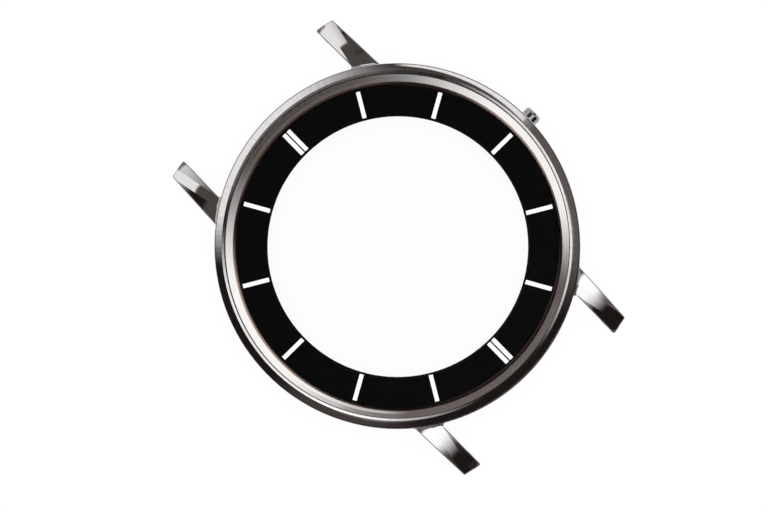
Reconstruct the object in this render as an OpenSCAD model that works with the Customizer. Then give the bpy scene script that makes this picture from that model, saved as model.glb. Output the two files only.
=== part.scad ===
// Slim round watch head with a black chapter ring and an open centre.
// Origin: centre of the case back, on the plane the watch rests on.
// +Z points to the crystal, +Y to 12 o'clock and +X to the crown. Millimetres.

/* [Chapter ring] */
// Diameter of the open centre of the chapter ring
ring_opening_d = 28; // [26:0.1:30]
// Width of the black face, from the opening to the foot of the flange
ring_face_w = 3.35; // [3.25:0.05:3.8]
// Width of the polished chamfer round the opening
ring_edge_w = 0.22; // [0.1:0.01:0.24]
// Depth of the polished chamfer round the opening
ring_edge_h = 0.24; // [0.1:0.01:0.3]
// Thickness of the chapter ring
ring_t = 0.4; // [0.35:0.01:0.6]
// Part of the chapter ring that is clamped under the flange
ring_tuck = 0.55; // [0.45:0.01:0.7]
// Width of the shelf in the case that carries the rim of the chapter ring
ring_shelf_w = 0.6; // [0.5:0.01:0.7]
// Radial clearance round the chapter ring
ring_clear = 0.05; // [0.02:0.01:0.1]

/* [Hour markers] */
// Length of a baton
baton_l = 2.9; // [2.4:0.05:2.95]
// Width of a single baton
baton_w = 0.45; // [0.3:0.01:0.6]
// Height of a baton above the face
baton_t = 0.12; // [0.06:0.01:0.2]
// Distance from the open centre to the inner end of a baton
baton_inset = 0.25; // [0.24:0.01:0.4]
// Width of each bar of the double markers at 12 and 6 o'clock
bar_w = 0.46; // [0.3:0.01:0.6]
// Gap between the two bars of a double marker
bar_gap = 0.16; // [0.1:0.01:0.3]

/* [Chapter ring feet] */
// Diameter of a foot
foot_d = 0.6; // [0.4:0.01:0.8]
// Length of a foot below the chapter ring
foot_l = 1.1; // [0.8:0.01:1.3]
// Diameter of the circle that the feet stand on
foot_circle_d = 32; // [31:0.1:33]
// Clearance round and under a foot in the casing ring
foot_clear = 0.05; // [0.02:0.01:0.1]
// Smallest wall between a foot's hole and the edge of the casing ring
foot_wall = 0.4; // [0.2:0.05:0.8]

/* [Flange] */
// Width of the chamfer at the edge of the flange on the ring
flange_edge_w = 0.09; // [0.06:0.01:0.15]
// Height of the chamfer at the edge of the flange on the ring
flange_edge_h = 0.08; // [0.05:0.01:0.12]
// Width of the steep foot of the flange
flange_foot_w = 0.26; // [0.18:0.01:0.4]
// Height of the steep foot of the flange
flange_foot_h = 0.52; // [0.3:0.01:0.7]
// Width of the lower facet
flange_low_w = 0.3; // [0.2:0.01:0.5]
// Height of the lower facet
flange_low_h = 0.27; // [0.2:0.01:0.5]
// Width of the upper facet
flange_top_w = 0.42; // [0.3:0.01:0.6]
// Height of the upper facet
flange_top_h = 0.37; // [0.2:0.01:0.5]

/* [Crystal] */
// Thickness of the crystal
crystal_t = 1.1; // [0.9:0.01:1.4]
// Width of the crystal's rim that rests on the flange
crystal_land = 0.04; // [0.03:0.01:0.1]
// Gap between the crystal's edge and the lip of the bezel
crystal_gap = 0.04; // [0.02:0.01:0.08]
// Bevel round the top of the crystal
crystal_bevel = 0.1; // [0.05:0.01:0.2]
// Width of the gasket round the crystal
crystal_gasket_w = 0.34; // [0.28:0.01:0.4]

/* [Bezel] */
// Width of the inner chamfer of the bezel
bezel_chamfer_w = 0.24; // [0.15:0.01:0.35]
// Height of the inner chamfer of the bezel
bezel_chamfer_h = 0.23; // [0.1:0.01:0.3]
// Width of the domed band of the bezel
bezel_band_w = 0.71; // [0.6:0.01:1]
// Fall of the domed band from its inner to its outer edge
bezel_band_h = 0.42; // [0.3:0.01:0.55]
// Radius of the dome across the band
bezel_band_r = 3.8; // [2:0.1:6]
// Height of the upright wall under the band
bezel_wall_h = 0.38; // [0.25:0.01:0.8]
// Depth of the crystal's top below the bezel's crest
crystal_sink = 0.16; // [0.1:0.01:0.25]
// Thickness of the lip over the gasket
bezel_lip_t = 0.18; // [0.12:0.01:0.22]
// Width of the spigot that the bezel is pressed on
spigot_w = 0.3; // [0.25:0.01:0.35]
// Height of the spigot that the bezel is pressed on
spigot_h = 0.2; // [0.1:0.01:0.21]

/* [Case middle] */
// Width of the step between the bezel and the flank of the case
rim_w = 0.15; // [0.1:0.01:0.3]
// Bevel at the top edge of the flank
rim_bevel = 0.05; // [0.02:0.01:0.08]
// Width of the rounded turn under the flank
turn_w = 0.6; // [0.4:0.01:0.7]
// Height of the rounded turn under the flank
turn_h = 0.85; // [0.6:0.01:1]
// Radius of the rounded turn under the flank
turn_r = 1.6; // [1.2:0.1:3]

/* [Lugs] */
// Gap between the lugs, which is the strap width
lug_gap = 20; // [18:0.5:22]
// Width of a lug at its root
lug_w = 2.3; // [2.1:0.05:2.6]
// Taper of a lug's outer face towards its tip, in degrees
lug_taper = 2; // [0:0.5:4]
// Turn of a lug's arch and end away from 12 o'clock, in degrees
lug_turn = 11.5; // [6:0.5:14]
// Reach of a lug past the case, at the middle of its end
lug_reach = 3.1; // [2.8:0.05:3.4]
// Step from the rim of the case down to the root of a lug
lug_step = 0.65; // [0.55:0.01:0.8]
// Radius of the arched back of a lug, seen from the side
lug_back_r = 12.5; // [11:0.1:14]
// Slope of the back at the root, in degrees
lug_root_slope = 4; // [2:0.5:6]
// Radius of the crown across the top of a lug
lug_crown_r = 6; // [4:0.1:7]
// Width of the crowned top between the two facets of the back
lug_top_w = 1; // [0.8:0.05:1.4]
// Slope of the two facets across the back, in degrees
lug_facet_slope = 18; // [14:0.5:22]
// Distance from the middle of a lug in to the ridge of its back
lug_ridge = 0.15; // [0:0.05:0.3]
// Height of a lug at its root
lug_root_h = 2.4; // [2.1:0.05:2.6]
// Height of a lug at its tip
lug_tip_h = 1.5; // [1.3:0.05:1.6]
// Radius of the arched underside of a lug
lug_under_r = 14; // [12:0.5:20]
// Bevel along the edges of a lug
lug_bevel = 0.1; // [0.05:0.01:0.15]
// Radius of the upright corners at the end of a lug
lug_corner_r = 0.2; // [0.1:0.05:0.4]
// Fillet between the inner face of a lug and the case
lug_inner_fillet = 0.3; // [0.2:0.05:0.5]
// Fillet between the outer face of a lug and the case
lug_outer_fillet = 0.8; // [0.5:0.05:1.2]
// Fillet between the back of a lug and the flank of the case
lug_neck_fillet = 0.4; // [0.3:0.05:0.5]
// Diameter of the spring bar hole
bar_hole_d = 0.9; // [0.8:0.01:1]
// Depth of the spring bar hole
bar_hole_l = 1.2; // [1:0.05:1.4]
// Distance from the tip of a lug to its spring bar hole
bar_hole_inset = 1.4; // [1.2:0.05:1.5]

/* [Casing ring] */
// Height of the casing ring
holder_h = 1.8; // [1.7:0.05:2.2]
// Diameter of the movement seat
movement_d = 29.2; // [29:0.1:30]
// Radial clearance of the casing ring in the case
holder_clear = 0.05; // [0.02:0.01:0.1]
// Depth of the rebate that takes the movement's rim
holder_rebate_h = 0.35; // [0.2:0.01:0.5]
// Width of the rebate that takes the movement's rim
holder_rebate_w = 0.3; // [0.2:0.01:0.4]

/* [Crown] */
// Diameter of the crown
crown_d = 1.95; // [1.7:0.05:2.2]
// Distance that the crown stands out of the case
crown_out = 0.97; // [0.75:0.01:1.2]
// Depth of the crown's pocket in the flank
crown_pocket_h = 0.5; // [0.45:0.01:0.6]
// Clearance round and behind the crown in its pocket
crown_clear = 0.1; // [0.08:0.01:0.15]
// Bevel at the crown's edge, along its axis
crown_bevel_l = 0.25; // [0.1:0.01:0.3]
// Bevel at the crown's edge, across its axis
crown_bevel_w = 0.15; // [0.1:0.01:0.2]
// Distance from the chapter ring down to the axis of the crown
crown_drop = 0.7; // [0.66:0.01:0.8]
// Travel of the crown when it is pulled out
crown_travel = 0.5; // [0.3:0.05:0.5]
// Length of tube that still guides the crown's skirt when it is pulled out
skirt_hold = 0.1; // [0.05:0.01:0.15]

/* [Tube and stem] */
// Outer diameter of the crown tube
tube_d = 1.1; // [1:0.01:1.14]
// Bore of the crown tube
tube_bore_d = 0.8; // [0.78:0.01:0.84]
// Clearance between the crown's skirt and the tube
skirt_clear = 0.07; // [0.03:0.01:0.1]
// Clearance between the end of the tube and the inside of the crown
tube_end_clear = 0.15; // [0.1:0.01:0.2]
// Clearance between the stem and the tube
stem_clear = 0.04; // [0.03:0.01:0.06]
// Clearance between the stem and its socket in the crown
socket_clear = 0.02; // [0.01:0.01:0.04]
// Depth of the stem's socket in the crown
socket_h = 0.25; // [0.2:0.01:0.3]
// Clearance past the end of the stem in its socket
stem_end_clear = 0.05; // [0.02:0.01:0.08]
// Distance that the tube and the stem stay back from the bores that they open into
end_inset = 0.1; // [0.05:0.01:0.15]
// Clearance of the stem in the casing ring
stem_slot_clear = 0.14; // [0.1:0.01:0.16]
// Diameter of the ring of the stem gasket
stem_gasket_t = 0.14; // [0.12:0.01:0.16]
// Clearance between the stem gasket and the tube
stem_gasket_clear = 0.015; // [0.01:0.005:0.02]
// Clearance between the stem gasket and the bottom of its groove
groove_clear = 0.005; // [0.002:0.001:0.01]
// Free space on each side of the stem gasket in its groove
groove_play = 0.05; // [0.02:0.01:0.08]
// Distance from the inner end of the tube to the stem gasket
stem_gasket_inset = 0.7; // [0.5:0.05:1]

/* [Case back] */
// Thickness of the case back
back_t = 0.9; // [0.85:0.01:1.1]
// Depth that the case back stands out below the case middle
back_proud = 0.45; // [0.3:0.01:0.5]
// Distance from the flank in to the edge of the case back
back_inset = 1; // [0.95:0.01:1.1]
// Radial clearance round the case back
back_clear = 0.05; // [0.02:0.01:0.1]
// Bevel at the outer edge of the case back
back_bevel = 0.1; // [0.05:0.01:0.12]
// Diameter of the window's clear face
window_d = 28.9; // [28.6:0.1:29]
// Height of the window's clear face below its flange
window_face_h = 0.3; // [0.2:0.01:0.4]
// Width of the window's flange
window_flange_w = 0.55; // [0.4:0.01:0.6]
// Distance from the window up to the casing ring
window_gap = 0.05; // [0.03:0.01:0.1]
// Gap between the window's clear face and the case back
window_clear = 0.05; // [0.02:0.01:0.08]
// Width of the gasket round the window
window_gasket_w = 0.3; // [0.2:0.01:0.4]
// Width of the gasket under the case back
back_gasket_w = 0.2; // [0.15:0.01:0.22]
// Height of the gasket under the case back
back_gasket_h = 0.2; // [0.15:0.01:0.25]
// Distance from the bore of the case to the gasket
back_gasket_inset = 0.03; // [0.02:0.01:0.04]
// Number of case back screws
screw_count = 6; // [4:2:8]
// Diameter of a screw's thread
screw_d = 0.7; // [0.6:0.01:0.74]
// Diameter of a screw's head
screw_head_d = 1; // [0.9:0.01:1.04]
// Height of a screw's head
screw_head_h = 0.32; // [0.2:0.01:0.4]
// Depth of a screw's head below the case back
screw_sink = 0.03; // [0.02:0.01:0.06]
// Length of a screw under its head
screw_l = 1.5; // [1.2:0.05:1.7]
// Distance from the edge of the case back to the screws
screw_inset = 0.62; // [0.6:0.01:0.64]
// Clearance round a screw's head
screw_clear = 0.04; // [0.02:0.01:0.05]
// Width of the slot in a screw's head
slot_w = 0.16; // [0.1:0.01:0.2]
// Depth of the slot in a screw's head
slot_h = 0.14; // [0.1:0.01:0.18]

/* [Hidden] */
$fn = 144;

// Surfaces that are cut away overrun by this much
over = 0.5;

// Radii, from the open centre out to the flank
opening_r = ring_opening_d / 2;
foot_hole_r = foot_d / 2 + foot_clear;
foot_reach = foot_circle_d / 2 + foot_hole_r + foot_wall + holder_clear + ring_shelf_w;
ring_r = max(opening_r + ring_face_w + ring_tuck, foot_reach);
face_r = ring_r - ring_tuck;
flange_edge_r = face_r + flange_edge_w;
flange_low_r = flange_edge_r + flange_foot_w;
flange_mid_r = flange_low_r + flange_low_w;
flange_top_r = flange_mid_r + flange_top_w;
crystal_r = flange_top_r + crystal_land;
lip_r = crystal_r + crystal_gap;
crest_r = lip_r + bezel_chamfer_w;
bezel_r = crest_r + bezel_band_w;
case_r = bezel_r + rim_w;
seat_r = crystal_r + crystal_gasket_w;
spigot_r = seat_r + spigot_w;
bore_r = ring_r - ring_shelf_w;
holder_r = bore_r - holder_clear;
movement_r = movement_d / 2;
back_r = case_r - back_inset;
window_r = window_d / 2;
window_rim_r = window_r + window_flange_w;
window_seat_r = window_rim_r + window_gasket_w;
back_gasket_r = bore_r + back_gasket_inset;
screw_circle_r = back_r - screw_inset;

// Heights, from the case back up to the bezel
ring_z = back_t + holder_h;
face_z = ring_z + ring_t;
flange_edge_z = face_z + flange_edge_h;
flange_low_z = flange_edge_z + flange_foot_h;
flange_mid_z = flange_low_z + flange_low_h;
flange_top_z = flange_mid_z + flange_top_h;
crystal_z = flange_top_z + crystal_t;
crest_z = crystal_z + crystal_sink;
lip_z = crest_z - bezel_chamfer_h;
shoulder_z = crest_z - bezel_band_h;
rim_z = shoulder_z - bezel_wall_h;
flank_z = back_proud + turn_h;
window_z = back_t - window_gap;
crown_z = ring_z - crown_drop;

// Places along the axis of the crown
crown_end = case_r + crown_out;
pocket_x = case_r - crown_pocket_h;
crown_in = pocket_x + crown_clear;
tube_in = bore_r + end_inset;
tube_end = crown_in + crown_travel + skirt_hold;
skirt_end = tube_end + tube_end_clear;
socket_end = skirt_end + socket_h;
stem_in = movement_r + end_inset;
stem_end = socket_end - stem_end_clear;
tube_bore_r = tube_bore_d / 2;
stem_r = tube_bore_r - stem_clear;
stem_gasket_r = tube_bore_r - stem_gasket_clear - stem_gasket_t / 2;
stem_gasket_x = tube_in + stem_gasket_inset;

// Lug outline in plan and from the side. The arch lies in a frame that is turned by lug_turn
// about the lug's middle: its height follows the distance along, and its crown the distance across.
lug_in = lug_gap / 2;
lug_out = lug_in + lug_w;
lug_mid = lug_in + lug_w / 2;
lug_tip_y = case_r + lug_reach;
lug_root_y = sqrt(pow(case_r, 2) - pow(lug_mid, 2));
lug_pivot_y = (lug_root_y + lug_tip_y) / 2;
lug_tip_t = along(lug_mid, lug_tip_y);
lug_root_z = rim_z - lug_step;
lug_back_y = lug_root_y - lug_back_r * sin(lug_root_slope);
lug_back_z = lug_root_z - lug_back_r * cos(lug_root_slope);
lug_tip_slope = asin((lug_tip_t - lug_back_y) / lug_back_r);
lug_tip_z = lug_back_z + lug_back_r * cos(lug_tip_slope);
lug_arch_w = lug_w + lug_outer_fillet;
lug_under = arc_centre(
    [lug_root_y, lug_root_z - lug_root_h],
    [lug_tip_t, lug_tip_z - lug_tip_h],
    lug_under_r
);
bar_hole_y = lug_tip_y - bar_hole_inset;
bar_hole_z = (back_z([lug_in, bar_hole_y]) + under_z([lug_in, bar_hole_y])) / 2;

// Distances along and across the turned arch, for a point in plan
function along(x, y) =
    lug_pivot_y + (x - lug_mid) * sin(lug_turn) + (y - lug_pivot_y) * cos(lug_turn);
function across(x, y) = (x - lug_mid) * cos(lug_turn) - (y - lug_pivot_y) * sin(lug_turn);

// Point in plan at a distance across the turned arch, on a circle about the case axis
function on_circle(a, r) =
    let (turn = lug_turn + asin((a - across(0, 0)) / r))
    r * [sin(turn), cos(turn)];

// Fall of the crowned top at a distance from the ridge
function crown_fall(s) = lug_crown_r - sqrt(pow(lug_crown_r, 2) - pow(s, 2));

// Heights of a lug's back and underside at a point in plan
function back_z(p) =
    let (
        off = abs(across(p[0], p[1]) + lug_ridge),
        facet_fall = crown_fall(lug_top_w / 2) + (off - lug_top_w / 2) * tan(lug_facet_slope),
        fall = max(crown_fall(off), facet_fall),
        run = along(p[0], p[1]) - lug_back_y
    )
    lug_back_z + sqrt(pow(lug_back_r - fall, 2) - pow(run, 2));
function under_z(p) =
    lug_under[1] + sqrt(pow(lug_under_r, 2) - pow(along(p[0], p[1]) - lug_under[0], 2));

// Point in plan at a distance y from the centre, on the face that leaves the case at x and leans by turn
function on_face(x, turn, y) = [x - (y - lug_root_y) * tan(turn), y];

// Corner in plan between that face and the end of the lug
function end_corner(x, turn) =
    let (
        start = lug_tip_t - along(x + lug_root_y * tan(turn), 0),
        y = start / (cos(lug_turn) - tan(turn) * sin(lug_turn))
    )
    on_face(x, turn, y);

// Centre of the arc of radius r from p to q that lies to the right of that line
function arc_centre(p, q, r) =
    let (d = norm(q - p), u = (q - p) / d)
    (p + q) / 2 + sqrt(r * r - d * d / 4) * [u[1], -u[0]];

// Centre of the circle through three points
function circle_centre(p, q, r) =
    let (a = q - p, b = r - p, d = 2 * (a[0] * b[1] - a[1] * b[0]))
    p + [b[1] * a * a - a[1] * b * b, a[0] * b * b - b[0] * a * a] / d;

// Rounds the corner of its children off with an arc of radius r from p to q
module round_corner(p, corner, q, r) {
    difference() {
        children();
        difference() {
            polygon([p, p + corner - q, 3 * corner - p - q, q + corner - p, q]);
            translate(arc_centre(p, q, r)) circle(r);
        }
    }
}

// Ring with a rectangular section
module band(r_in, r_out, z_low, z_high) {
    rotate_extrude() translate([r_in, z_low]) square([r_out - r_in, z_high - z_low]);
}

// Cylinder along the axis of the crown
module along_crown(x_from, x_to, r_from, r_to) {
    translate([x_from, 0, crown_z])
        rotate([0, 90, 0])
            cylinder(h = x_to - x_from, r1 = r_from, r2 = r_to);
}

// Case middle: the ring that carries everything else
module case_section() {
    corner = [case_r, back_proud];
    flank = [case_r, flank_z];
    sole = [case_r - turn_w, back_proud];
    round_corner(flank, corner, sole, turn_r) polygon([
        corner,
        [case_r, rim_z - rim_bevel],
        [case_r - rim_bevel, rim_z],
        [spigot_r, rim_z],
        [spigot_r, rim_z + spigot_h],
        [seat_r, rim_z + spigot_h],
        [seat_r, face_z],
        [ring_r + ring_clear, face_z],
        [ring_r + ring_clear, ring_z],
        [bore_r, ring_z],
        [bore_r, back_t],
        [back_r + back_clear, back_t],
        [back_r + back_clear, back_proud]
    ]);
}

module case_middle() {
    color("silver") difference() {
        rotate_extrude() case_section();
        along_crown(bore_r - over, case_r, tube_d / 2, tube_d / 2);
        along_crown(pocket_x, case_r + over, crown_d / 2 + crown_clear, crown_d / 2 + crown_clear);
        on_screw_circle() cylinder(h = screw_sink + screw_head_h + screw_l, d = screw_d);
    }
}

// Places its children in the turned frame of a lug's arch
module turned() {
    translate([lug_mid, lug_pivot_y, 0]) rotate(-lug_turn) translate([-lug_mid, -lug_pivot_y, 0]) children();
}

// Lug: an arched horn with a crowned back, brazed to the flank by its foot.
// It is drawn in the quarter between 12 o'clock and the crown.
// The barrel gives its back, at a depth below the finished surface.
module lug_barrel(depth) {
    roof_fall = crown_fall(lug_top_w / 2) - lug_top_w / 2 * tan(lug_facet_slope);
    roof_r = lug_back_r - depth - roof_fall;
    eaves_r = roof_r - lug_arch_w * tan(lug_facet_slope);
    turned() translate([lug_mid - lug_ridge, lug_back_y, lug_back_z]) rotate([0, 90, 0]) rotate_extrude()
        intersection() {
            translate([lug_back_r - depth - lug_crown_r, 0]) circle(lug_crown_r);
            polygon([[0, -lug_arch_w], [eaves_r, -lug_arch_w], [roof_r, 0], [eaves_r, lug_arch_w], [0, lug_arch_w]]);
        }
}

// Side view of a lug under its crowned back, from inside the case to the tip
module lug_side() {
    tip_low = lug_tip_z - lug_tip_h;
    root_y = lug_root_y - 2 * lug_outer_fillet;
    turned() translate([lug_mid - lug_arch_w, 0, 0]) rotate([90, 0, 90]) linear_extrude(2 * lug_arch_w) difference() {
        translate([root_y, tip_low]) square([lug_tip_t - root_y, rim_z - tip_low]);
        translate(lug_under) circle(lug_under_r);
        polygon([
            [lug_tip_t, tip_low + lug_bevel],
            [lug_tip_t + over, tip_low + lug_bevel],
            [lug_tip_t + over, tip_low - over],
            [lug_tip_t - lug_bevel, tip_low - over],
            [lug_tip_t - lug_bevel, tip_low]
        ]);
    }
}

// Bevel at the end of a lug: a cone about the centre of the crown's arc in the end face
module lug_end_bevel() {
    arc_r = lug_crown_r * cos(lug_tip_slope);
    end_r = arc_r - lug_bevel;
    slope = tan((90 + lug_tip_slope) / 2);
    turned() translate([lug_mid - lug_ridge, lug_tip_t, lug_tip_z - arc_r]) rotate([90, 0, 0])
        cylinder(h = lug_tip_y, r1 = end_r, r2 = end_r + slope * lug_tip_y);
}

// Face of a lug that leaves the case at x and leans by turn, with the bevel along its back edge.
// Side is 1 where the metal lies towards the crown. The bevel follows the arc of the edge.
module lug_face(x, turn, side) {
    corner = end_corner(x, turn);
    edge = [
        for (y = [lug_root_y, lug_pivot_y, corner[1]])
            [lug_root_y + (y - lug_root_y) / cos(turn), back_z(on_face(x, turn, y))]
    ];
    centre = circle_centre(edge[0], edge[1], edge[2]);
    edge_r = norm(edge[0] - centre);
    far = side * 2 * lug_arch_w;
    translate([x, lug_root_y, 0]) rotate(turn) translate([0, centre[0] - lug_root_y, centre[1]])
        rotate([0, 90, 0]) rotate_extrude() polygon([
            [0, 0],
            [edge_r - lug_bevel, 0],
            [edge_r, side * lug_bevel],
            [edge_r + lug_arch_w, side * lug_bevel],
            [edge_r + lug_arch_w, far],
            [0, far]
        ]);
}

// Plan of a lug with its two rounded corners
module lug_plan() {
    inner = end_corner(lug_in, 0);
    outer = end_corner(lug_out, lug_taper);
    down = [sin(lug_taper), -cos(lug_taper)];
    side = [cos(lug_turn), -sin(lug_turn)];
    inner_l = lug_corner_r / tan((90 - lug_turn) / 2);
    outer_l = lug_corner_r / tan((90 + lug_turn + lug_taper) / 2);
    round_corner(inner - [0, inner_l], inner, inner + inner_l * side, lug_corner_r)
        round_corner(outer - outer_l * side, outer, outer + outer_l * down, lug_corner_r)
            polygon([[lug_in, 0], inner, outer, on_face(lug_out, lug_taper, 0)]);
}

// Fillet in plan where a lug's face at x meets the flank, turned outwards by side
module plan_fillet(x, r, side) {
    cx = x + side * r;
    cy = sqrt(pow(case_r + r, 2) - pow(cx, 2));
    foot = [cx, cy] * case_r / (case_r + r);
    difference() {
        polygon([[x, cy], [cx, cy], foot, foot - [0, over], [x - side * over, cy - 2 * over], [x - side * over, cy]]);
        translate([cx, cy]) circle(r);
    }
}

module lug_web() {
    linear_extrude(rim_z) {
        plan_fillet(lug_in, lug_inner_fillet, -1);
        plan_fillet(lug_out, lug_outer_fillet, 1);
    }
}

module lug() {
    color("silver") difference() {
        intersection() {
            lug_side();
            union() {
                intersection() {
                    lug_barrel(0);
                    lug_end_bevel();
                    lug_face(lug_in, 0, 1);
                    lug_face(lug_out, lug_taper, -1);
                    linear_extrude(rim_z) lug_plan();
                }
                intersection() {
                    lug_barrel(lug_bevel);
                    lug_web();
                }
                intersection() {
                    lug_neck();
                    lug_barrel(-lug_neck_fillet);
                    union() {
                        lug_web();
                        linear_extrude(rim_z) lug_plan();
                    }
                }
            }
        }
        cylinder(h = 2 * rim_z, r = case_r, center = true);
        translate([lug_in, bar_hole_y, bar_hole_z])
            rotate([0, 90, 0])
                cylinder(h = 2 * bar_hole_l, d = bar_hole_d, center = true);
    }
}

// Concave neck between the back of a lug and the flank, in two parts: one runs out from the crowned
// top and the other from the outer facet. The lower of the two counts, as it does on the back.
module lug_neck() {
    neck_r = case_r + lug_neck_fillet;
    inner = [lug_in, sqrt(pow(neck_r, 2) - pow(lug_in, 2))];
    outer = [lug_out, sqrt(pow(neck_r, 2) - pow(lug_out, 2))];
    shoulder = on_circle(lug_top_w / 2 - lug_ridge, neck_r);
    intersection() {
        neck_part(inner, shoulder, neck_r);
        neck_part(shoulder, outer, neck_r);
    }
}

// Part of the neck turned about the case axis, and tilted so that its foot runs through p and q
module neck_part(p, q, neck_r) {
    middle = (p + q) / norm(p + q) * neck_r;
    tilt = atan((back_z(p) - back_z(q)) / norm(p - q));
    translate([middle[0], middle[1], (back_z(p) + back_z(q)) / 2]) rotate(tilt, middle) translate(-middle)
        rotate_extrude() difference() {
            translate([case_r - over, -lug_neck_fillet]) square([lug_neck_fillet + over, 2 * lug_neck_fillet]);
            translate([neck_r, lug_neck_fillet]) circle(lug_neck_fillet);
        }
}

module lug_12_right() {
    lug();
}

module lug_12_left() {
    mirror([1, 0, 0]) lug();
}

module lug_6_right() {
    mirror([0, 1, 0]) lug();
}

module lug_6_left() {
    rotate(180) lug();
}

// Bezel: domed polished band with an inner chamfer, pressed on the spigot
module bezel() {
    crest = [crest_r, crest_z];
    corner = [bezel_r, crest_z];
    shoulder = [bezel_r, shoulder_z];
    color("gainsboro") rotate_extrude()
        round_corner(crest, corner, shoulder, bezel_band_r) polygon([
            [bezel_r, rim_z],
            corner,
            crest,
            [lip_r, lip_z],
            [lip_r, lip_z - bezel_lip_t],
            [seat_r, lip_z - bezel_lip_t],
            [seat_r, rim_z + spigot_h],
            [spigot_r, rim_z + spigot_h],
            [spigot_r, rim_z]
        ]);
}

// Crystal: flat glass with a bevelled rim
module crystal() {
    color("lightcyan", 0.3) union() {
        translate([0, 0, flange_top_z]) cylinder(h = crystal_t - crystal_bevel, r = crystal_r);
        translate([0, 0, crystal_z - crystal_bevel])
            cylinder(h = crystal_bevel, r1 = crystal_r, r2 = crystal_r - crystal_bevel);
    }
}

module crystal_gasket() {
    color("dimgray") band(crystal_r, seat_r, flange_top_z, lip_z - bezel_lip_t);
}

// Flange: polished slope from the crystal down to the chapter ring
module flange_ring() {
    color("silver") rotate_extrude() polygon([
        [seat_r, face_z],
        [seat_r, flange_top_z],
        [flange_top_r, flange_top_z],
        [flange_mid_r, flange_mid_z],
        [flange_low_r, flange_low_z],
        [flange_edge_r, flange_edge_z],
        [face_r, face_z]
    ]);
}

// Chapter ring: black plate with a polished chamfer round its open centre
module chapter_ring() {
    color("black") rotate_extrude() polygon([
        [opening_r, ring_z],
        [ring_r, ring_z],
        [ring_r, face_z],
        [opening_r + ring_edge_w, face_z],
        [opening_r, face_z - ring_edge_h]
    ]);
}

// Bar that lies on the face, pointing to the centre along +Y
module bar(w, offset_x) {
    translate([offset_x - w / 2, opening_r + baton_inset, face_z]) cube([w, baton_l, baton_t]);
}

module hour_batons() {
    color("white") for (hour = [1 : 11]) {
        if (hour != 6) rotate(-30 * hour) bar(baton_w, 0);
    }
}

module double_batons() {
    color("white") for (turn = [0, 180], side = [-1, 1]) {
        rotate(turn) bar(bar_w, side * (bar_w + bar_gap) / 2);
    }
}

// Copies its children to the feet of the chapter ring
module at_feet() {
    for (turn = [60, 180, 300]) rotate(turn) translate([foot_circle_d / 2, 0, ring_z]) children();
}

module chapter_ring_feet() {
    color("goldenrod") at_feet() mirror([0, 0, 1]) cylinder(h = foot_l, d = foot_d);
}

// Casing ring: centres the movement and presses on the chapter ring from below
module casing_ring() {
    color("darkgray") difference() {
        rotate_extrude() polygon([
            [movement_r + holder_rebate_w, back_t],
            [holder_r, back_t],
            [holder_r, ring_z],
            [movement_r, ring_z],
            [movement_r, back_t + holder_rebate_h],
            [movement_r + holder_rebate_w, back_t + holder_rebate_h]
        ]);
        at_feet() mirror([0, 0, 1]) cylinder(h = foot_l + foot_clear, r = foot_hole_r);
        along_crown(movement_r - over, holder_r + over, stem_r + stem_slot_clear, stem_r + stem_slot_clear);
    }
}

// Crown tube: pressed in the case, it guides the stem and the crown's skirt
module crown_tube() {
    color("silver") difference() {
        along_crown(tube_in, tube_end, tube_d / 2, tube_d / 2);
        along_crown(tube_in - over, tube_end + over, tube_bore_r, tube_bore_r);
    }
}

// Places its children round the stem at the gasket
module at_stem_gasket() {
    translate([stem_gasket_x, 0, crown_z]) rotate([0, 90, 0]) children();
}

module winding_stem() {
    groove_r = stem_gasket_r - stem_gasket_t / 2 - groove_clear;
    groove_l = stem_gasket_t + 2 * groove_play;
    color("lightsteelblue") difference() {
        along_crown(stem_in, stem_end, stem_r, stem_r);
        at_stem_gasket() difference() {
            cylinder(h = groove_l, r = stem_r + over, center = true);
            cylinder(h = groove_l + over, r = groove_r, center = true);
        }
    }
}

module stem_gasket() {
    color("dimgray") at_stem_gasket()
        rotate_extrude() translate([stem_gasket_r, 0]) circle(d = stem_gasket_t);
}

// Crown: plain polished button with a skirt over the tube and a socket for the stem
module crown() {
    color("silver") difference() {
        union() {
            along_crown(crown_in, crown_end - crown_bevel_l, crown_d / 2, crown_d / 2);
            along_crown(crown_end - crown_bevel_l, crown_end, crown_d / 2, crown_d / 2 - crown_bevel_w);
        }
        along_crown(crown_in - over, skirt_end, tube_d / 2 + skirt_clear, tube_d / 2 + skirt_clear);
        along_crown(crown_in - over, socket_end, stem_r + socket_clear, stem_r + socket_clear);
    }
}

// Copies its children to the case back screws, half a pitch away from the crown
module on_screw_circle() {
    for (i = [0 : screw_count - 1]) {
        rotate((i + 0.5) * 360 / screw_count) translate([screw_circle_r, 0, 0]) children();
    }
}

// Case back: screwed ring round a flush window
module case_back_ring() {
    color("gainsboro") difference() {
        rotate_extrude() polygon([
            [window_r + window_clear, 0],
            [back_r - back_bevel, 0],
            [back_r, back_bevel],
            [back_r, back_t],
            [back_gasket_r + back_gasket_w, back_t],
            [back_gasket_r + back_gasket_w, back_t - back_gasket_h],
            [back_gasket_r, back_t - back_gasket_h],
            [back_gasket_r, back_t],
            [window_seat_r, back_t],
            [window_seat_r, window_face_h],
            [window_r + window_clear, window_face_h]
        ]);
        on_screw_circle() {
            translate([0, 0, -over]) cylinder(h = 2 * over + back_t, d = screw_d);
            translate([0, 0, -over])
                cylinder(h = over + screw_sink + screw_head_h, r = screw_head_d / 2 + screw_clear);
        }
    }
}

module case_back_window() {
    color("lightcyan", 0.3) union() {
        cylinder(h = window_z, r = window_r);
        translate([0, 0, window_face_h]) cylinder(h = window_z - window_face_h, r = window_rim_r);
    }
}

module window_gasket() {
    color("dimgray") band(window_rim_r, window_seat_r, window_face_h, window_z);
}

module case_back_gasket() {
    color("dimgray")
        band(back_gasket_r, back_gasket_r + back_gasket_w, back_t - back_gasket_h, back_t);
}

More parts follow.
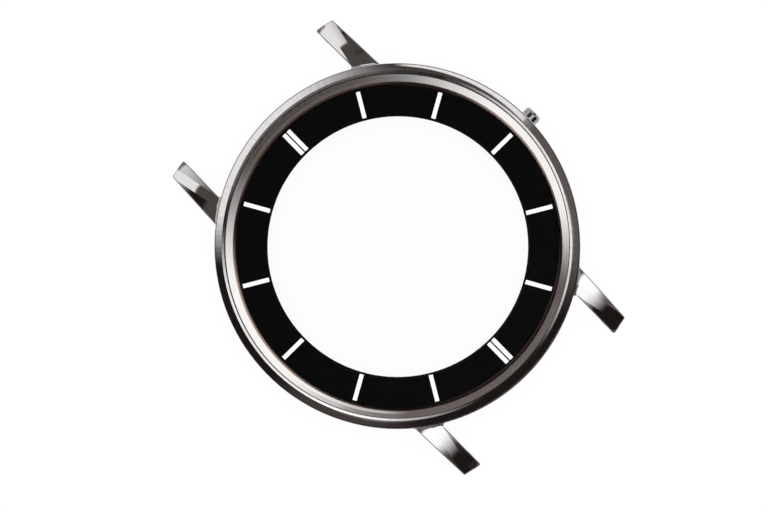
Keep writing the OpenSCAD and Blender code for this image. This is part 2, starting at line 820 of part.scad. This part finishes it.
module case_back_screws() {
    color("lightsteelblue") on_screw_circle() translate([0, 0, screw_sink]) difference() {
        union() {
            cylinder(h = screw_head_h, d = screw_head_d);
            cylinder(h = screw_head_h + screw_l, d = screw_d);
        }
        cube([2 * screw_head_d, slot_w, 2 * slot_h], center = true);
    }
}

case_middle();
lug_12_right();
lug_12_left();
lug_6_right();
lug_6_left();
bezel();
crystal();
crystal_gasket();
flange_ring();
chapter_ring();
hour_batons();
double_batons();
chapter_ring_feet();
casing_ring();
crown_tube();
winding_stem();
stem_gasket();
crown();
case_back_ring();
case_back_window();
window_gasket();
case_back_gasket();
case_back_screws();
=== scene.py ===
"""Looks of a slim watch head with a black chapter ring and an open centre.

Everything is in metres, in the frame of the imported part: +Z leaves the crystal, +Y points to
12 o'clock and +X to the crown.
"""
import math

import bpy
from mathutils import Matrix, Vector


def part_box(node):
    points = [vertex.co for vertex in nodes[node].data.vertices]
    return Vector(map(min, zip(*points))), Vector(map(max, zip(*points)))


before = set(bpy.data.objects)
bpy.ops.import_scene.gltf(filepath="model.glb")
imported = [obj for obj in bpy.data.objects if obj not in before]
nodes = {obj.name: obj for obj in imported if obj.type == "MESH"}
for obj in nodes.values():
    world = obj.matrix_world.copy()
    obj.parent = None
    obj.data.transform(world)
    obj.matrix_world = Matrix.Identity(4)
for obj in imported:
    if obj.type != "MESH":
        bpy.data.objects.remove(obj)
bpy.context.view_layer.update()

MM = 0.001

# Camera: a long lens nearly straight above, leaning towards 6 o'clock
PHOTO_W_PX = 768
PHOTO_H_PX = 512
RIM_CENTRE_PX = (397.0, 245.7)
PX_PER_M = 9350
CAMERA_LEAN = math.radians(3.3)
CAMERA_DISTANCE = 0.5
CAMERA_NEAREST = 0.01
CAMERA_FARTHEST = 50
SENSOR_WIDTH_MM = 36
# Angle in the picture, anticlockwise from its right edge, at which the crown points
CROWN_ANGLE = 44.5


def make_camera():
    """The photograph's view: 12 o'clock points to the upper left."""
    turn = math.radians(CROWN_ANGLE)
    back = Vector((0, -math.sin(CAMERA_LEAN), math.cos(CAMERA_LEAN)))
    right = Vector((math.cos(turn), -math.sin(turn), 0))
    right = (right - back * right.dot(back)).normalized()
    up = back.cross(right)
    rim_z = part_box("bezel")[0].z
    off_x = (RIM_CENTRE_PX[0] - PHOTO_W_PX / 2) / PX_PER_M
    off_y = (PHOTO_H_PX / 2 - RIM_CENTRE_PX[1]) / PX_PER_M
    target = Vector((0, 0, rim_z)) - right * off_x - up * off_y
    data = bpy.data.cameras.new("camera")
    data.sensor_width = SENSOR_WIDTH_MM
    data.lens = PX_PER_M * CAMERA_DISTANCE * SENSOR_WIDTH_MM / PHOTO_W_PX
    data.clip_start = CAMERA_NEAREST
    data.clip_end = CAMERA_FARTHEST
    camera = bpy.data.objects.new("camera", data)
    bpy.context.scene.collection.objects.link(camera)
    turn_to = Matrix((right, up, back)).transposed().to_4x4()
    camera.matrix_world = Matrix.Translation(target + back * CAMERA_DISTANCE) @ turn_to
    bpy.context.scene.camera = camera


class Nodes:
    """Short helper that builds the node tree of one material or world."""

    def __init__(self, owner, output="ShaderNodeOutputMaterial"):
        owner.use_nodes = True
        self.owner = owner
        self.tree = owner.node_tree
        self.tree.nodes.clear()
        self.out = self.add(output)

    def add(self, kind, **values):
        node = self.tree.nodes.new(kind)
        for key, value in values.items():
            setattr(node, key, value)
        return node

    def link(self, source, target):
        self.tree.links.new(source, target)

    def put(self, value, target):
        """A socket is linked to the target, and a plain number or colour is written into it."""
        if isinstance(value, bpy.types.NodeSocket):
            self.link(value, target)
        else:
            target.default_value = value

    def math(self, operation, *values):
        node = self.add("ShaderNodeMath", operation=operation)
        for value, target in zip(values, node.inputs):
            self.put(value, target)
        return node.outputs["Value"]

    def vector_math(self, operation, *values):
        node = self.add("ShaderNodeVectorMath", operation=operation)
        for value, target in zip(values, node.inputs):
            self.put(value, target)
        return node.outputs["Vector"]

    def split(self, vector):
        node = self.add("ShaderNodeSeparateXYZ")
        self.link(vector, node.inputs["Vector"])
        return node.outputs["X"], node.outputs["Y"], node.outputs["Z"]

    def join(self, x, y, z):
        node = self.add("ShaderNodeCombineXYZ")
        for value, target in zip((x, y, z), node.inputs):
            self.put(value, target)
        return node.outputs["Vector"]

    def position(self):
        """Object coordinates in millimetres."""
        coords = self.add("ShaderNodeTexCoord")
        node = self.add("ShaderNodeMapping")
        node.inputs["Scale"].default_value = (1 / MM,) * 3
        self.link(coords.outputs["Object"], node.inputs["Vector"])
        return node.outputs["Vector"]

    def normal(self):
        """The surface's own normal, before any bump."""
        return self.add("ShaderNodeNewGeometry").outputs["Normal"]

    def noise(self, vector, scale, detail=3.0):
        """Noise with about this many features for each unit of the vector."""
        node = self.add("ShaderNodeTexNoise")
        node.inputs["Scale"].default_value = scale
        node.inputs["Detail"].default_value = detail
        self.link(vector, node.inputs["Vector"])
        return node.outputs["Fac"]

    def streaks(self, per_radian, detail=3.0):
        """Noise that changes only with the angle round the case axis."""
        x, y, _ = self.split(self.position())
        return self.noise(self.join(self.math("ARCTAN2", y, x), 0, 0), per_radian, detail)

    def spread(self, value, low, high, from_low=0.3, from_high=0.7):
        """Low to high as the value goes from from_low to from_high. Most noise is at 0.3 to 0.7."""
        node = self.add("ShaderNodeMapRange")
        node.inputs["From Min"].default_value = from_low
        node.inputs["From Max"].default_value = from_high
        node.inputs["To Min"].default_value = low
        node.inputs["To Max"].default_value = high
        self.link(value, node.inputs["Value"])
        return node.outputs["Result"]

    def edge(self, value, start, end, rising=True):
        """A soft step from 0 to 1, or from 1 to 0, between start and end."""
        node = self.add("ShaderNodeMapRange", interpolation_type="SMOOTHSTEP")
        node.inputs["From Min"].default_value = start
        node.inputs["From Max"].default_value = end
        node.inputs["To Min"].default_value = 0.0 if rising else 1.0
        node.inputs["To Max"].default_value = 1.0 if rising else 0.0
        self.link(value, node.inputs["Value"])
        return node.outputs["Result"]

    def window(self, value, edges):
        """1 between the middle two edges, and soft down to 0 at the outer two."""
        rise = self.edge(value, edges[0], edges[1])
        fall = self.edge(value, edges[2], edges[3], rising=False)
        return self.math("MULTIPLY", rise, fall)

    def blend(self, factor, low, high):
        """A colour between low and high, each a socket or red, green and blue."""
        node = self.add("ShaderNodeMix", data_type="RGBA")
        for value, target in ((low, node.inputs["A"]), (high, node.inputs["B"])):
            self.put((*value, 1) if isinstance(value, tuple) else value, target)
        self.link(factor, node.inputs["Factor"])
        return node.outputs["Result"]

    def bump(self, height, distance_mm, strength=1.0, over=None):
        """The normal of a bumpy surface, which starts from the normal over where one is given."""
        node = self.add("ShaderNodeBump")
        node.inputs["Strength"].default_value = strength
        node.inputs["Distance"].default_value = distance_mm * MM
        self.link(height, node.inputs["Height"])
        if over is not None:
            self.link(over, node.inputs["Normal"])
        return node.outputs["Normal"]

    def shader(self, base, roughness, metallic=0.0):
        """The main shader. Base and roughness hold until something is linked to their sockets."""
        node = self.add("ShaderNodeBsdfPrincipled")
        node.inputs["Base Color"].default_value = (*base, 1)
        node.inputs["Roughness"].default_value = roughness
        node.inputs["Metallic"].default_value = metallic
        self.link(node.outputs["BSDF"], self.out.inputs["Surface"])
        return node

    def mixed_surface(self, share, first, second):
        """The surface shows this share of the second shader over the first."""
        node = self.add("ShaderNodeMixShader")
        self.link(share, node.inputs["Fac"])
        self.link(first, node.inputs[1])
        self.link(second, node.inputs[2])
        self.link(node.outputs["Shader"], self.out.inputs["Surface"])


# Light: a room of soft-edged panels and walls round a dim sky. Azimuths are angles in the picture,
# and zeniths are angles from straight above. Each panel has four edges in degrees both ways: where
# it starts, where it is full, where it is last full and where it has gone. A slanted panel hangs
# lower by that many degrees for each degree of azimuth past its middle.

# The softbox stands beyond 12 o'clock
SOFTBOX = dict(azimuth=(89, 132, 165, 184), zenith=(44, 48, 80, 83), radiance=1.0)
# Strips towards 3 and 9 o'clock, each over a panel that spans the horizon
STRIP_THREE = dict(azimuth=(-30, 18, 50, 88), zenith=(73.2, 77.2, 82.4, 83.7), slant=0.047, radiance=1.3)
STRIP_NINE = dict(azimuth=(161, 193, 228, 284), zenith=(74, 78, 83.2, 84.5), slant=-0.047, radiance=1.25)
HORIZON_THREE = dict(azimuth=(-6, 18, 76, 122), zenith=(84.5, 85.7, 95, 100), slant=0.047, radiance=1.15)
HORIZON_NINE = dict(azimuth=(140, 174, 222, 252), zenith=(85.4, 86.6, 96, 101), slant=-0.047, radiance=1.15)
# A steeply slanted strip between 3 and 12 o'clock, in two parts, and a low panel under its end
SIDE_STRIP = dict(azimuth=(44, 52, 68, 76), zenith=(58.8, 62.8, 77, 79.5), slant=0.3, radiance=1.0)
SIDE_END = dict(azimuth=(68, 76, 88, 94), zenith=(65.1, 69.1, 77.8, 80.3), slant=0.3, radiance=1.0)
LOW_THREE = dict(azimuth=(52, 72, 86, 97), zenith=(82.2, 83.2, 86, 88), slant=0.047, radiance=0.5)
PANELS = (SOFTBOX, STRIP_THREE, STRIP_NINE, HORIZON_THREE, HORIZON_NINE, SIDE_STRIP, SIDE_END, LOW_THREE)

# Walls in a warm grey, much dimmer than the panels
GREY_WALL = dict(azimuth=(-24, 4, 42, 52), zenith=(44, 50, 74, 78), radiance=0.12)
THREE_WALL = dict(azimuth=(46, 54, 92, 104), zenith=(44, 50, 62, 68), radiance=0.06)
LEFT_WALL = dict(azimuth=(222, 238, 254, 280), zenith=(44, 50, 74, 78), radiance=0.055)
UPPER_WALL = dict(azimuth=(10, 40, 225, 255), zenith=(5, 12, 44, 48), radiance=0.07)
FAR_WALL = dict(azimuth=(70, 86, 156, 176), zenith=(79, 82, 85, 88), radiance=0.17)
NEAR_WALL = dict(azimuth=(262, 282, 338, 352), zenith=(76, 79, 96, 104), radiance=0.15)
WALLS = (GREY_WALL, THREE_WALL, LEFT_WALL, UPPER_WALL, FAR_WALL, NEAR_WALL)

PANEL_COLOUR = (1, 1, 1)
WALL_COLOUR = (1.0, 0.86, 0.84)
DIM_ROOM = (0.015, 0.0115, 0.0105)

# The panel overhead starts straight above and reaches towards 6 o'clock. It is given by its tilts
# from straight above: towards 6 o'clock, and sideways.
TOP_TOWARDS_SIX = (-0.5, 4, 20, 48)
TOP_SIDEWAYS = (43, 54)
TOP_RADIANCE = 1.3

# A square lamp straight above, whose soft light metal and glass don't mirror
FILL_DISTANCE = 0.6
FILL_SIZE = 0.84
FILL_STRENGTH = 2.1


def room_light(n, panels, bearing, zenith):
    """Sum of some panels' light in the direction of a ray."""
    light = None
    for panel in panels:
        edges = panel["azimuth"]
        middle = (edges[0] + edges[3]) / 2
        off = n.math("WRAP", n.math("ADD", bearing, CROWN_ANGLE - middle), 180, -180)
        across = n.window(off, [edge - middle for edge in edges])
        height = n.math("SUBTRACT", zenith, n.math("MULTIPLY", off, panel.get("slant", 0.0)))
        up = n.window(height, panel["zenith"])
        share = n.math("MULTIPLY", n.math("MULTIPLY", across, up), panel["radiance"])
        light = share if light is None else n.math("ADD", light, share)
    return light


def top_light(n, x, y, z):
    """Light of the panel overhead in the direction of a ray."""
    towards_six = n.math("DEGREES", n.math("ARCTAN2", n.math("MULTIPLY", y, -1), z))
    sideways = n.math("DEGREES", n.math("ARCTAN2", n.math("ABSOLUTE", x), z))
    along = n.window(towards_six, TOP_TOWARDS_SIX)
    across = n.edge(sideways, *TOP_SIDEWAYS, rising=False)
    return n.math("MULTIPLY", n.math("MULTIPLY", along, across), TOP_RADIANCE)


def make_room():
    """World light: the panels, the walls and a dim rest, one layer over the other."""
    world = bpy.data.worlds.new("room")
    n = Nodes(world, "ShaderNodeOutputWorld")
    coords = n.add("ShaderNodeTexCoord")
    x, y, z = n.split(coords.outputs["Generated"])
    bearing = n.math("DEGREES", n.math("ARCTAN2", y, x))
    zenith = n.math("DEGREES", n.math("ARCCOSINE", z))
    white = n.math("ADD", room_light(n, PANELS, bearing, zenith), top_light(n, x, y, z))
    layers = (
        (white, PANEL_COLOUR),
        (room_light(n, WALLS, bearing, zenith), WALL_COLOUR),
        (1.0, DIM_ROOM),
    )
    total = None
    for strength, colour in layers:
        layer = n.add("ShaderNodeBackground")
        layer.inputs["Color"].default_value = (*colour, 1)
        n.put(strength, layer.inputs["Strength"])
        light = layer.outputs["Background"]
        if total is not None:
            both = n.add("ShaderNodeAddShader")
            n.link(total, both.inputs[0])
            n.link(light, both.inputs[1])
            light = both.outputs["Shader"]
        total = light
    n.link(total, n.out.inputs["Surface"])
    bpy.context.scene.world = world


def make_fill():
    data = bpy.data.lights.new("fill", "AREA")
    data.size = FILL_SIZE
    data.energy = FILL_STRENGTH * math.pi * FILL_SIZE * FILL_SIZE
    lamp = bpy.data.objects.new("fill", data)
    lamp.location = (0, 0, FILL_DISTANCE)
    lamp.visible_camera = False
    lamp.visible_glossy = False
    bpy.context.scene.collection.objects.link(lamp)


# Metals, as red, green and blue
CASE_STEEL = (0.77, 0.76, 0.755)
BEZEL_STEEL = (0.8, 0.785, 0.78)
# Painted shade: the crown's steel is a darker copy of the case's, standing in for dark surroundings in its
# sides
CROWN_SHADED_STEEL = (0.37, 0.355, 0.35)
FLANGE_STEEL = (0.74, 0.725, 0.71)
HOLDER_STEEL = (0.6, 0.6, 0.6)
TUBE_STEEL = (0.66, 0.66, 0.67)
BACK_STEEL = (0.68, 0.68, 0.68)
SCREW_STEEL = (0.7, 0.7, 0.71)
BRASS = (0.72, 0.55, 0.26)

# Cloudy patches per millimetre that the polishing wheel leaves, and the light that they keep
CLOUD_SCALE = 0.6
CLOUD_SHADE = 0.93
# The light that turned grooves keep
GROOVE_SHADE = 0.85

# Streaks across the bezel, and the shares of red, green and blue that they keep
BEZEL_STREAKS_PER_RADIAN = 45
BEZEL_STREAK_SHADE = (0.86, 0.84, 0.86)

# The bevels of the lugs are the faces whose normal has this upright part: none, full, full, none
BEVEL_UPRIGHT = (0.2, 0.3, 0.7, 0.75)
# Painted shade: the colour of the lugs' bevels, standing in for the dark surroundings that they mirror
BEVEL_PAINTED_SHADE = (0.2, 0.185, 0.18)
BEVEL_ROUGHNESS = 0.3

# The flange's foot ends this high over the ring's face, and its painted shade is darkest up to this height
FOOT_HEIGHT_MM = 0.59
FOOT_DARK_MM = 0.05
# Painted shade: the foot's dim brown, from its darkest at the ring's face to its lightest at the foot's top
FOOT_PAINTED_SHADE_LOW = (0.05, 0.034, 0.03)
FOOT_PAINTED_SHADE_HIGH = (0.56, 0.41, 0.36)
FOOT_STREAKS_PER_RADIAN = 40
# Roughness of the facets, of the foot, and of the whole flange where one number has to do
FACET_ROUGHNESS = 0.05
FOOT_ROUGHNESS = 0.09
FLANGE_ROUGHNESS = 0.06
# What the faces of the foot's turned grooves add to the upright part of its normal
GROOVE_LEAN = 0.48

# Specular level of the ring's lacquer. Plain lacquer has 0.5
LACQUER_SHINE = 0.06

# The coating leaves the glass this share of its reflection
COATED_SHARE = 0.03
GLASS_IOR = 1.5
SMEAR_ROUGHNESS = 0.03


def material(name):
    """Empty node tree of a new material."""
    return Nodes(bpy.data.materials.new(name))


def shaded(colour, share):
    """A colour with this share of its light."""
    return tuple(channel * share for channel in colour)


def polished_steel(name, base, roughness):
    """Mirror-polished steel: faint cloudiness and hairlines left by the polishing wheel."""
    n = material(name)
    shader = n.shader(base, roughness, metallic=1.0)
    at = n.position()
    cloud = n.noise(at, CLOUD_SCALE, detail=4)
    n.link(n.spread(cloud, low=0.7 * roughness, high=1.5 * roughness), shader.inputs["Roughness"])
    haze = n.noise(at, scale=1.7)
    n.link(n.blend(haze, shaded(base, CLOUD_SHADE), base), shader.inputs["Base Color"])
    n.link(n.bump(n.noise(at, scale=9.0, detail=2), distance_mm=0.0006), shader.inputs["Normal"])
    return n.owner


def streaked_steel(name, base, roughness):
    """Polished steel of a ring: faint streaks across it, as a polishing wheel leaves them."""
    n = material(name)
    shader = n.shader(base, roughness, metallic=1.0)
    cloud = n.noise(n.position(), CLOUD_SCALE, detail=4)
    n.link(n.spread(cloud, low=0.7 * roughness, high=1.6 * roughness), shader.inputs["Roughness"])
    streaks = n.streaks(BEZEL_STREAKS_PER_RADIAN, detail=4)
    dull = tuple(channel * shade for channel, shade in zip(base, BEZEL_STREAK_SHADE))
    n.link(n.blend(n.spread(streaks, low=0, high=1), dull, base), shader.inputs["Base Color"])
    n.link(n.bump(streaks, distance_mm=0.004, strength=0.5), shader.inputs["Normal"])
    return n.owner


def lug_steel(name, base, roughness):
    """Polished steel whose narrow bevels keep a rougher satin finish and a darker colour, which is painted
    shade for the dark reflection in them.
    """
    n = material(name)
    shader = n.shader(base, roughness, metallic=1.0)
    upright = n.split(n.normal())[2]
    bevel = n.window(upright, BEVEL_UPRIGHT)
    cloud = n.noise(n.position(), CLOUD_SCALE, detail=4)
    polish = n.blend(cloud, shaded(base, CLOUD_SHADE), base)
    # Painted shade: the bevels take the dark colour in place of the polished one
    n.link(n.blend(bevel, polish, BEVEL_PAINTED_SHADE), shader.inputs["Base Color"])
    rough = n.spread(bevel, low=roughness, high=BEVEL_ROUGHNESS, from_low=0, from_high=1)
    n.link(rough, shader.inputs["Roughness"])
    return n.owner


def turned_steel(name, base, roughness, pitch_mm):
    """Turned or circular-brushed steel: fine grooves that run round the case axis."""
    n = material(name)
    shader = n.shader(base, roughness, metallic=1.0)
    x, y, z = n.split(n.position())
    radius = n.math("SQRT", n.math("ADD", n.math("MULTIPLY", x, x), n.math("MULTIPLY", y, y)))
    grooves = n.noise(n.join(radius, 0, z), scale=1 / pitch_mm, detail=2)
    n.link(n.spread(grooves, low=0.7 * roughness, high=1.4 * roughness), shader.inputs["Roughness"])
    n.link(n.blend(grooves, shaded(base, GROOVE_SHADE), base), shader.inputs["Base Color"])
    n.link(n.bump(grooves, distance_mm=0.004), shader.inputs["Normal"])
    return n.owner


def flange_steel(name):
    """Polished facets over a foot left as turned, whose grooves mirror the side light; the foot is painted
    dim brown, darkest at the ring's face: painted shade.
    """
    n = material(name)
    shader = n.shader(FLANGE_STEEL, FLANGE_ROUGHNESS, metallic=1.0)
    face_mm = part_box("flange_ring")[0].z / MM
    foot_dark_mm = face_mm + FOOT_DARK_MM
    foot_top_mm = face_mm + FOOT_HEIGHT_MM
    z = n.split(n.position())[2]
    foot = n.math("LESS_THAN", z, foot_top_mm)
    # Painted shade: the foot's colour darkens towards the ring's face
    height = n.spread(z, low=0, high=1, from_low=foot_dark_mm, from_high=foot_top_mm)
    brown = n.blend(height, FOOT_PAINTED_SHADE_LOW, FOOT_PAINTED_SHADE_HIGH)
    n.link(n.blend(foot, FLANGE_STEEL, brown), shader.inputs["Base Color"])
    rough = n.spread(foot, low=FACET_ROUGHNESS, high=FOOT_ROUGHNESS, from_low=0, from_high=1)
    n.link(rough, shader.inputs["Roughness"])
    lean = n.join(0, 0, n.math("MULTIPLY", foot, GROOVE_LEAN))
    leaning = n.vector_math("NORMALIZE", n.vector_math("ADD", n.normal(), lean))
    streaks = n.streaks(FOOT_STREAKS_PER_RADIAN)
    n.link(n.bump(streaks, distance_mm=0.003, strength=0.4, over=leaning), shader.inputs["Normal"])
    return n.owner


def black_lacquer(name):
    """Deep black lacquer with a soft gloss and a trace of orange peel."""
    n = material(name)
    shader = n.shader((0.004, 0.004, 0.0045), roughness=0.12)
    shader.inputs["Specular IOR Level"].default_value = LACQUER_SHINE
    at = n.position()
    n.link(n.spread(n.noise(at, scale=1.2), low=0.08, high=0.2), shader.inputs["Roughness"])
    black = n.blend(n.noise(at, scale=14.0), (0.0015, 0.0015, 0.0015), (0.0035, 0.0035, 0.004))
    n.link(black, shader.inputs["Base Color"])
    n.link(n.bump(n.noise(at, scale=5.0, detail=2), distance_mm=0.0006), shader.inputs["Normal"])
    return n.owner


def white_lacquer(name):
    """Opaque white lacquer of the batons, with a fine grain."""
    n = material(name)
    shader = n.shader((0.9, 0.9, 0.9), roughness=0.45)
    grain = n.noise(n.position(), scale=22.0, detail=2)
    n.link(n.spread(grain, low=0.35, high=0.55), shader.inputs["Roughness"])
    n.link(n.blend(grain, (0.88, 0.88, 0.88), (0.93, 0.93, 0.93)), shader.inputs["Base Color"])
    n.link(n.bump(grain, distance_mm=0.002), shader.inputs["Normal"])
    return n.owner


def rubber(name):
    """Matt black rubber or nylon of the gaskets."""
    n = material(name)
    shader = n.shader((0.015, 0.015, 0.015), roughness=0.6)
    grain = n.noise(n.position(), scale=12.0)
    n.link(n.spread(grain, low=0.5, high=0.75), shader.inputs["Roughness"])
    n.link(n.blend(grain, (0.01, 0.01, 0.01), (0.022, 0.022, 0.022)), shader.inputs["Base Color"])
    n.link(n.bump(grain, distance_mm=0.004), shader.inputs["Normal"])
    return n.owner


def turned_brass(name):
    """Turned brass of the ring's feet, with uneven shine and colour."""
    n = material(name)
    shader = n.shader(BRASS, roughness=0.25, metallic=1.0)
    grain = n.noise(n.position(), scale=8.0)
    n.link(n.spread(grain, low=0.18, high=0.35), shader.inputs["Roughness"])
    n.link(n.blend(grain, (0.62, 0.46, 0.2), (0.76, 0.58, 0.28)), shader.inputs["Base Color"])
    return n.owner


def clear_glass(name):
    """Coated flat glass: clear, with the weak reflection that the coating leaves."""
    n = material(name)
    clear = n.add("ShaderNodeBsdfTransparent")
    gloss = n.add("ShaderNodeBsdfGlossy")
    smears = n.noise(n.position(), scale=0.35)
    n.link(n.spread(smears, low=0.0, high=SMEAR_ROUGHNESS), gloss.inputs["Roughness"])
    facing = n.add("ShaderNodeFresnel")
    facing.inputs["IOR"].default_value = GLASS_IOR
    share = n.math("MULTIPLY", facing.outputs["Fac"], COATED_SHARE)
    n.mixed_surface(share, clear.outputs["BSDF"], gloss.outputs["BSDF"])
    return n.owner


def dress(names, finish):
    """Gives the named CAD nodes this material alone."""
    for name in names:
        slots = nodes[name].data.materials
        slots.clear()
        slots.append(finish)


def dress_all():
    lugs = ["lug_12_right", "lug_12_left", "lug_6_right", "lug_6_left"]
    gaskets = ["crystal_gasket", "stem_gasket", "window_gasket", "case_back_gasket"]
    dress(["case_middle"], polished_steel("case_steel", CASE_STEEL, roughness=0.05))
    dress(lugs, lug_steel("lug_steel", CASE_STEEL, roughness=0.05))
    dress(["bezel"], streaked_steel("bezel_steel", BEZEL_STEEL, roughness=0.05))
    dress(["crown"], polished_steel("crown_steel", CROWN_SHADED_STEEL, roughness=0.1))
    dress(["flange_ring"], flange_steel("flange_steel"))
    dress(["chapter_ring"], black_lacquer("black_lacquer"))
    dress(["hour_batons", "double_batons"], white_lacquer("white_lacquer"))
    dress(["casing_ring"], turned_steel("holder_steel", HOLDER_STEEL, roughness=0.3, pitch_mm=0.06))
    dress(["crown_tube", "winding_stem"], polished_steel("tube_steel", TUBE_STEEL, roughness=0.2))
    dress(["case_back_ring"], turned_steel("back_steel", BACK_STEEL, roughness=0.22, pitch_mm=0.05))
    dress(["case_back_screws"], polished_steel("screw_steel", SCREW_STEEL, roughness=0.1))
    dress(["chapter_ring_feet"], turned_brass("brass"))
    dress(gaskets, rubber("gasket_rubber"))
    dress(["crystal", "case_back_window"], clear_glass("coated_glass"))


FLOOR_SIZE = 6.0
FLOOR_COLOUR = (0.95, 0.95, 0.95)
# Share of plain white over the floor's lit surface, in what the camera, metal and glass see of it
FLOOR_GLOW = 0.93
# The floor lies this far under the watch, so that the two don't share a plane
FLOOR_GAP = 0.02 * MM


def make_floor():
    """White sheet under the watch, nearly plain white with a soft shadow."""
    half = FLOOR_SIZE / 2
    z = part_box("case_back_ring")[0].z - FLOOR_GAP
    mesh = bpy.data.meshes.new("floor")
    corners = [(-half, -half, z), (half, -half, z), (half, half, z), (-half, half, z)]
    mesh.from_pydata(corners, [], [(0, 1, 2, 3)])
    floor = bpy.data.objects.new("floor", mesh)
    bpy.context.scene.collection.objects.link(floor)
    n = material("floor_paper")
    lit = n.add("ShaderNodeBsdfDiffuse")
    lit.inputs["Color"].default_value = (*FLOOR_COLOUR, 1)
    glow = n.add("ShaderNodeEmission")
    glow.inputs["Strength"].default_value = 1.0
    path = n.add("ShaderNodeLightPath")
    seen = n.math("MAXIMUM", path.outputs["Is Camera Ray"], path.outputs["Is Glossy Ray"])
    seen = n.math("MAXIMUM", seen, path.outputs["Is Transmission Ray"])
    share = n.math("MULTIPLY", seen, FLOOR_GLOW)
    n.mixed_surface(share, lit.outputs["BSDF"], glow.outputs["Emission"])
    mesh.materials.append(n.owner)


make_camera()
make_room()
make_fill()
make_floor()
dress_all()
bpy.context.scene.view_settings.view_transform = "Standard"
